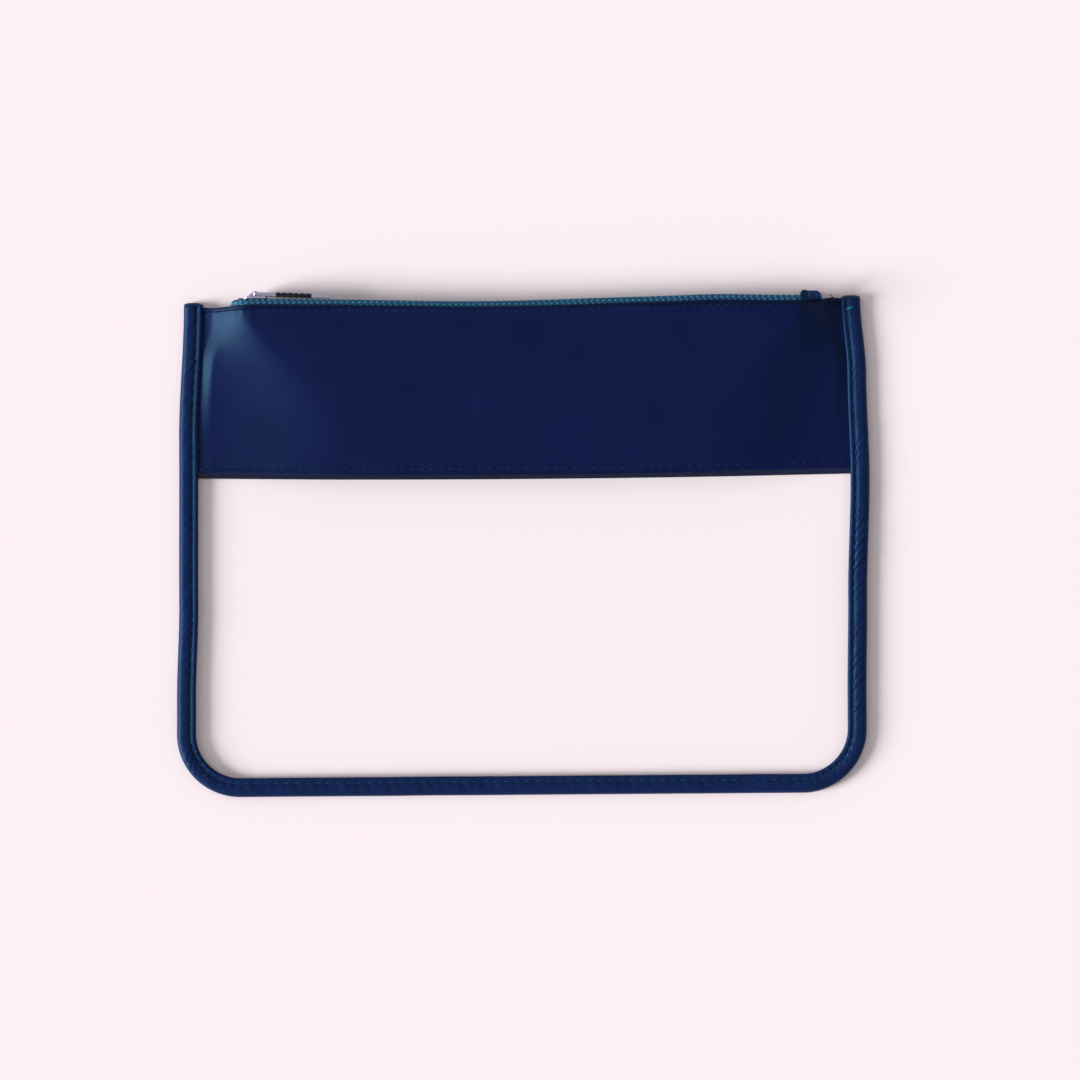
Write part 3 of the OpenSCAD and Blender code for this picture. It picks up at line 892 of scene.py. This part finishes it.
topY = pouch["fold"] - band["topSeam"]
for side, tag in ((-1, "Left"), (1, "Right")):
    for seamY, pitch, label, node in (
            (topY, band["topPitch"], "frontTopSeam", "front_top_thread"),
            (pouch["low"] + band["hemSeam"], band["hemPitch"], "frontHemSeam", "front_hem_thread")):
        places = surfaceStitches(side, seamY, pitch, frontBandZ, 0.05 * mm, edgeWander)
        row = stitchRow(label + tag, places, seamThread, node)
        bendWithMouth(row)
for seamY, pitch, label, node in (
        (topY, band["topPitch"], "backTopSeam", "back_top_thread"),
        (backBandLow.y + band["hemSeam"], band["hemPitch"], "backHemSeam", "back_hem_thread")):
    places = []
    for side in (-1, 1):
        places += surfaceStitches(side, seamY, pitch, backBandZ, -0.02 * mm, backWander)
    row = stitchRow(label, [(p, d, -up) for p, d, up in places], seamThread, node)
    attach(row, "bag")


def bindingStitches():
    places = []
    u, pitch = binding["seam"], pouch["bindPitch"]
    for i in range(int((loopLength - 6 * mm) / pitch) + 1):
        s = (i + 0.5) * pitch
        (x0, y0), (x1, y1) = loopPoint(s - 0.4 * mm, u), loopPoint(s + 0.4 * mm, u)
        x, y = loopPoint(s, u)
        direction = Vector((x1 - x0, y1 - y0, 0)).normalized()
        slant = Matrix.Rotation(stitch["edgeSlant"], 3, "Z") @ direction
        for level, up in zip(binding["seamFaces"], (1, -1)):
            places.append((Vector((swayX(x, y), y, level)), slant, Vector((0, 0, up))))
    return places


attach(stitchRow("bindingSeam", bindingStitches(), edgeThread, "binding_thread"), "bag")

# the tacks that lock the seam at the binding's right end
tack = {
    "x": 118.6 * mm,
    "shift": 2.6 * mm,          # outwards from there, once the side's lean is taken off
    "below": 4.5 * mm,          # below the binding's end
    "level": 3.28 * mm,
    "length": 2.6 * mm,
    "apart": (0.3 * mm, 0.24 * mm),
}
tackPlaces = []
for i in (-1, 0, 1):
    y = pouch["bindTop"] - tack["below"] + i * tack["apart"][1]
    x = swayX(tack["x"] + i * tack["apart"][0], y) + tack["shift"]
    tackPlaces.append((Vector((x, y, tack["level"])), Vector((1, 0.16, -0.08)), Vector((0, 0, 1))))
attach(stitchRow("bindingTack", tackPlaces, tealThread, length=tack["length"]), "bag")
print("seams ready")

tape = {
    "thickness": 0.28 * mm,
    "bend": 0.5 * mm,
    "cornerLeft": 2.2 * mm,     # radius of the turned-in corner at the left end
    "cornerRight": 3.8 * mm,    # and of the cut one under the tab
    "step": 0.4 * mm,
    "slit": 0.5 * mm,           # from the tapes' inner edges to the middle of the zip
    "ribs": 0.05 * mm,          # height of the woven pattern
}


# each row: height, distance in from the outer face, and share of the way on to the chain
def tapeRows():
    top = pouch["tapeTop"] - tape["thickness"] / 2
    rows = [(pouch["leg"] + (pouch["fold"] - pouch["leg"]) * i / 8, 0.0, 0.0) for i in range(8)]
    rows += [(pouch["fold"] + (top - tape["bend"] - pouch["fold"]) * i / 8, 0.0, 0.0) for i in range(9)]
    for i in range(1, 6):
        a = math.pi / 2 * i / 5
        rows.append((top - tape["bend"] * (1 - math.sin(a)), tape["bend"] * (1 - math.cos(a)), 0.0))
    rows += [(top, tape["bend"], i / 8) for i in range(1, 9)]
    return rows


def makeTape(name, x0, x1, isFront):
    rows = tapeRows()
    sign = -1 if isFront else 1
    edge = pouch["mouthZ"] - sign * tape["slit"]
    columns = round((x1 - x0) / tape["step"])

    def place(u, row):
        y, inward, share = rows[row]
        x = x0 + (x1 - x0) * u
        if isFront:
            behind = min(y, pouch["fold"])
            outer = pouch["clothZ"] - 0.25 * mm + frontRise(unswayed(x, behind), behind)
        else:
            outer = backTapeLow.z + tape["thickness"] / 2 + 0.02 * mm
        start = outer + sign * inward
        z = start + (edge - start) * share
        for fromEnd, radius in ((x - tapeLow.x, tape["cornerLeft"]), (tapeHigh.x - x, tape["cornerRight"])):
            gap = max(0.0, 1 - fromEnd / radius)
            sink = radius * (1 - math.sqrt(max(0.0, 1 - gap * gap)))
            y -= sink * smooth((y - pouch["leg"]) / (8 * mm))
        turn = 2 * math.pi / pouch["tapeWeave"]
        drop = y + z - pouch["tapeTop"]
        ribs = tape["ribs"] * math.sin(turn * (x - 0.6 * drop)) * math.sin(turn * drop)
        if share == 0:
            z -= sign * ribs
        if inward > 0:
            y += ribs
        return Vector((x, y + mouthSag(x), z))

    obj = shapedGrid(name, columns, len(rows) - 1, place)
    faceUp(obj, Vector((0, 1, -sign)))
    thicken(obj, tape["thickness"])
    finishPiece(obj, tapeWeave, "zip_tape", "front_zip_tape" if isFront else "back_zip_tape")
    return obj


bendWithMouth(makeTape("frontTapeLeft", tapeLow.x, 0, True))
bendWithMouth(makeTape("frontTapeRight", 0, tapeHigh.x, True))
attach(makeTape("backTape", tapeLow.x, tapeHigh.x, False), "bag")
print("tapes ready")

coil = {
    "pitch": 1.35 * mm,
    "wire": 0.2 * mm,
    "high": 0.63 * mm,
    "wide": 1.0 * mm,
    "offset": 1.02 * mm,
    "turnPoints": 14,
    "core": 0.3 * mm,           # the cord inside the turns: its radius, place and twist
    "coreOffset": 1.25 * mm,
    "coreTurn": 2.6 * mm,
    "coreWave": 0.07 * mm,
    "middle": (coilLow.y + coilHigh.y) / 2,
}


def tubeAlong(name, points, radius):
    curve = bpy.data.curves.new(name, "CURVE")
    curve.dimensions = "3D"
    curve.bevel_depth = radius
    curve.bevel_resolution = 1
    curve.use_fill_caps = True
    spline = curve.splines.new("POLY")
    spline.points.add(len(points) - 1)
    for splinePoint, point in zip(spline.points, points):
        splinePoint.co = tuple(point) + (1,)
    obj = bpy.data.objects.new(name, curve)
    bpy.context.collection.objects.link(obj)
    pickObject(obj)
    bpy.ops.object.convert(target="MESH")
    bpy.ops.object.shade_smooth()
    return bpy.context.object


# side is -1 for the back coil and 1 for the front one, whose turns lie between the back's
def coilPoints(x0, x1, side):
    points = []
    count = round((x1 - x0) / coil["pitch"] * coil["turnPoints"])
    for i in range(count + 1):
        x = x0 + (x1 - x0) * i / count
        a = 2 * math.pi * x / coil["pitch"] + (math.pi if side > 0 else 0)
        z = pouch["mouthZ"] + side * (coil["offset"] - coil["wide"] * math.cos(a))
        points.append((x, coil["middle"] + mouthSag(x) + coil["high"] * math.sin(a), z))
    return points


def corePoints(x0, x1, side):
    points = []
    count = round((x1 - x0) / (0.9 * mm))
    for i in range(count + 1):
        x = x0 + (x1 - x0) * i / count
        a = 2 * math.pi * x / coil["coreTurn"]
        z = pouch["mouthZ"] + side * coil["coreOffset"] + coil["coreWave"] * math.cos(a)
        points.append((x, coil["middle"] + mouthSag(x) + coil["coreWave"] * math.sin(a), z))
    return points


# one coil with its core, or half of one
def makeCoil(label, tag, x0, x1, side):
    turns = tubeAlong(label + "Coil" + tag, coilPoints(x0, x1, side), coil["wire"])
    finishPiece(turns, coilNylon, "zip_coil", label + "_zip_coil")
    core = tubeAlong(label + "CoilCore" + tag, corePoints(x0, x1, side), coil["core"])
    finishPiece(core, seamThread, "thread", label + "_coil_core")
    return turns, core


for obj in makeCoil("back", "", coilLow.x, coilHigh.x, -1):
    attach(obj, "bag")
for obj in makeCoil("front", "Left", coilLow.x, 0, 1):
    bendWithMouth(obj)
for obj in makeCoil("front", "Right", 0, coilHigh.x, 1):
    bendWithMouth(obj)
print("coils ready")

tab = {
    "thickness": 0.26 * mm,
    "rise": 1.5 * mm,
    "corner": 2.4 * mm,
    "columns": 44,
    "rows": 20,                            # one less than the points of its section
    "clear": pullHigh.z + 0.95 * mm,       # the front wall leans out past the pull
    "crease": 0.22 * mm,                   # the fold line near its left end, and the peak over it
    "peak": 0.35 * mm,
}


def makeTab():
    low = pouch["fold"] + 0.05 * mm
    saddle = tabHigh.y - 0.15 * mm
    crest = pouch["tapeTop"] + tab["rise"]
    x0, x1 = tabLow.x, tabHigh.x
    backZ = backTapeLow.z - 0.35 * mm

    def place(u, row):
        x = x0 + (x1 - x0) * u
        frontZ = pouch["clothZ"] + doubled + frontRise(unswayed(x, pouch["fold"]), pouch["fold"])
        # front wall, crest, down to the saddle that the pull passes over, and the same at the back
        path = [(low, frontZ - 0.1 * mm), (low + 0.7 * mm, frontZ), (low + 1.6 * mm, frontZ + 0.12 * mm),
                (crest - 0.9 * mm, frontZ + 0.1 * mm), (crest - 0.35 * mm, frontZ - 0.02 * mm),
                (crest, frontZ - 0.22 * mm), (crest - 0.3 * mm, frontZ - 0.42 * mm),
                (saddle + 0.1 * mm, frontZ - 0.46 * mm), (saddle, frontZ - 0.9 * mm)]
        width = frontZ - backZ
        lean = max(0.0, tab["clear"] - frontZ)
        path[:8] = [(py, pz + lean * smooth((py - low) / (2.2 * mm))) for py, pz in path[:8]]
        path += [(saddle, frontZ - 0.9 * mm - (width - 2.4 * mm) * k / 6) for k in range(1, 7)]
        path += [(saddle + 0.4 * mm, backZ + 1.05 * mm), (crest - 0.5 * mm, backZ + 0.8 * mm),
                 (crest - 0.2 * mm, backZ + 0.4 * mm), (crest - 0.6 * mm, backZ + 0.05 * mm),
                 (low + 1.2 * mm, backZ), (low + 0.3 * mm, backZ + 0.1 * mm)]
        y, z = path[row]
        # rounded at the right, a little peaked where the fold line is at the left
        fromRight = x1 - x
        if fromRight < tab["corner"]:
            gap = 1 - fromRight / tab["corner"]
            y = low + (y - low) * (1 - 0.9 * (1 - math.sqrt(max(0.0, 1 - gap * gap))))
        y += tab["peak"] * hump(x - x0 - 1.1 * mm, 0.8 * mm) * smooth((y - low) / (3 * mm))
        z += 0.05 * mm * rippleAt(x, y, 2 * mm, 2 * mm, 23)
        if row < 8:
            z -= tab["crease"] * hump(x - x0 - 2.3 * mm, 0.3 * mm)
        return Vector((x, y, z))

    obj = shapedGrid("zipEndTab", tab["columns"], tab["rows"], place)
    faceUp(obj, Vector((0, 1, 0)))
    pickObject(obj)
    sub = obj.modifiers.new("Subdivision", "SUBSURF")
    sub.levels = sub.render_levels = 1
    bpy.ops.object.modifier_apply(modifier=sub.name)
    thicken(obj, tab["thickness"])
    finishPiece(obj, tabCloth, "binding_fabric", "zip_end_tab")
    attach(obj, "bag")


makeTab()

# a thread end that was never trimmed, beside the right binding
loose = {
    "radius": 0.16 * mm,
    # place, height above the fold and level, in mm
    "points": [(112.8, 0.1, 3.9), (112.4, 0.9, 4.4), (111.8, 1.6, 4.6), (111.0, 2.3, 4.7)],
}
loosePoints = [(x * mm, pouch["fold"] + y * mm, z * mm) for x, y, z in loose["points"]]
looseEnd = tubeAlong("looseThread", loosePoints, loose["radius"])
finishPiece(looseEnd, seamThread, "thread")
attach(looseEnd, "bag")
print("tab ready")

metal = {
    "sliderBevel": 0.22 * mm,
    "crownBevel": 0.12 * mm,
    "pullBevel": 0.13 * mm,
    "stopBevel": 0.1 * mm,
    "bevelSegments": 2,
}
paintedReflection = {
    "start": pullLow.x + 8 * mm,        # painted reflection: dark between here and the end, up to the plate's faces, for the coil reflected in the polished pull
    "end": pullLow.x + 20.8 * mm,
    "plate": 0.64 * mm,
    "middle": pullHigh.y - 0.62 * mm,
    "droop": 2.5,                       # degrees, towards the tip
}


# height of the pull's middle plane
def paintedReflectionLine(x):
    return paintedReflection["middle"] - (x - pullLow.x) * math.tan(math.radians(paintedReflection["droop"]))


# a copy of a CAD node with its edges rounded, as a casting's are
def softCopy(node, name, bevel, material, slotName, body):
    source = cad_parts[node]
    obj = source.copy()
    obj.data = source.data.copy()
    obj.parent = None
    obj.matrix_world = Matrix.Identity(4)
    bpy.context.collection.objects.link(obj)
    obj.hide_render = False
    obj.hide_viewport = False
    obj.name = name
    for key in [k for k in obj.keys() if k.startswith("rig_")]:
        del obj[key]
    editAll(obj, (bpy.ops.mesh.remove_doubles, {"threshold": 0.001 * mm}),
            (bpy.ops.mesh.dissolve_limited, {"angle_limit": math.radians(2)}))
    mod = obj.modifiers.new("Bevel", "BEVEL")
    mod.width = bevel
    mod.segments = metal["bevelSegments"]
    mod.limit_method = "ANGLE"
    mod.angle_limit = math.radians(35)
    bpy.ops.object.modifier_apply(modifier=mod.name)
    bpy.ops.object.shade_smooth_by_angle(angle=math.radians(40))
    finishPiece(obj, material, slotName, node)
    if body == "mouth_front":
        bendWithMouth(obj)
    else:
        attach(obj, body)
    return obj


softCopy("slider_body", "sliderBody", metal["sliderBevel"], nickel, "nickel", "slider")
softCopy("slider_crown", "sliderCrown", metal["crownBevel"], nickel, "nickel", "slider")
pullTab = softCopy("pull_tab", "pullTab", metal["pullBevel"], nickel, "nickel", "pull")
# painted reflection: the middle of the pull takes the dark material, standing in for the coil reflected in
# its polished plate
pullTab.data.materials.append(darkEnamelAndPaintedReflection)
editAll(pullTab, *[(bpy.ops.mesh.bisect, {"plane_co": (x, 0, 0), "plane_no": (1, 0, 0)})
                   for x in (paintedReflection["start"], paintedReflection["end"])])
for face in pullTab.data.polygons:
    across = abs(face.center.y - paintedReflectionLine(face.center.x))
    if paintedReflection["start"] < face.center.x < paintedReflection["end"] and across < paintedReflection["plate"]:
        face.material_index = 1
softCopy("back_top_stop", "backTopStop", metal["stopBevel"], darkEnamelAndPaintedReflection, "dark_metal", "bag")
softCopy("front_top_stop", "frontTopStop", metal["stopBevel"], darkEnamelAndPaintedReflection, "dark_metal", "mouth_front")
softCopy("bottom_stop", "bottomStop", metal["stopBevel"], darkEnamelAndPaintedReflection, "dark_metal", "bag")
print("metal ready")

studio = {
    "floor": (0.925, 0.822, 0.852),
    "floorSize": 6,
    "keyStrength": 5.45, "keyElevation": 20.5, "keyAzimuth": 190.0, "keySpread": 24.0,
    "world": 0.42, "worldColour": (1, 0.985, 1),
    "cornerPower": 10.0, "cornerPlace": Vector((-2.2, 1.75, 2.0)), "cornerSize": 1.4,
    "viewWidth": 388.4 * mm, "distance": 1.7, "sensor": 36,
    "aimX": 6.3 * mm, "aimY": 0.75 * mm, "roll": -0.45,
}
bpy.ops.object.select_all(action="DESELECT")
bpy.ops.mesh.primitive_plane_add(size=studio["floorSize"], location=(0, 0, 0))
floor = bpy.context.object
floor.name = "floor"
paper = {"Base Color": studio["floor"] + (1,), "Roughness": 0.9, "Specular IOR Level": 0.0}
floor.data.materials.append(newMaterial("palePaper", paper)[0])

world = bpy.data.worlds.new("studio")
world.use_nodes = True
sky = world.node_tree.nodes["Background"]
sky.inputs["Color"].default_value = studio["worldColour"] + (1,)
sky.inputs["Strength"].default_value = studio["world"]
bpy.context.scene.world = world
bpy.context.scene.view_settings.view_transform = "Standard"


# a light that shines from the way it is given
def addLight(name, kind, energy, towards):
    light = bpy.data.lights.new(name, kind)
    light.energy = energy
    obj = bpy.data.objects.new(name, light)
    obj.rotation_euler = towards.to_track_quat("Z", "Y").to_euler()
    bpy.context.collection.objects.link(obj)
    return obj


elevation, azimuth = math.radians(studio["keyElevation"]), math.radians(studio["keyAzimuth"])
towards = Vector((math.cos(elevation) * math.cos(azimuth), math.cos(elevation) * math.sin(azimuth),
                  math.sin(elevation)))
key = addLight("key", "SUN", studio["keyStrength"], towards)
key.data.angle = math.radians(studio["keySpread"])
# a weak soft box at the upper left, for the sheen on the cloth and the metal
softBox = addLight("corner", "AREA", studio["cornerPower"], studio["cornerPlace"])
softBox.data.size = studio["cornerSize"]
softBox.location = studio["cornerPlace"]

lens = bpy.data.cameras.new("camera")
lens.sensor_width = studio["sensor"]
lens.lens = studio["sensor"] * studio["distance"] / studio["viewWidth"]
lens.clip_start = 0.01
camera = bpy.data.objects.new("camera", lens)
camera.location = (studio["aimX"], studio["aimY"], studio["distance"])
camera.rotation_euler = (0, 0, math.radians(studio["roll"]))
bpy.context.collection.objects.link(camera)
bpy.context.scene.camera = camera
print("stage ready")
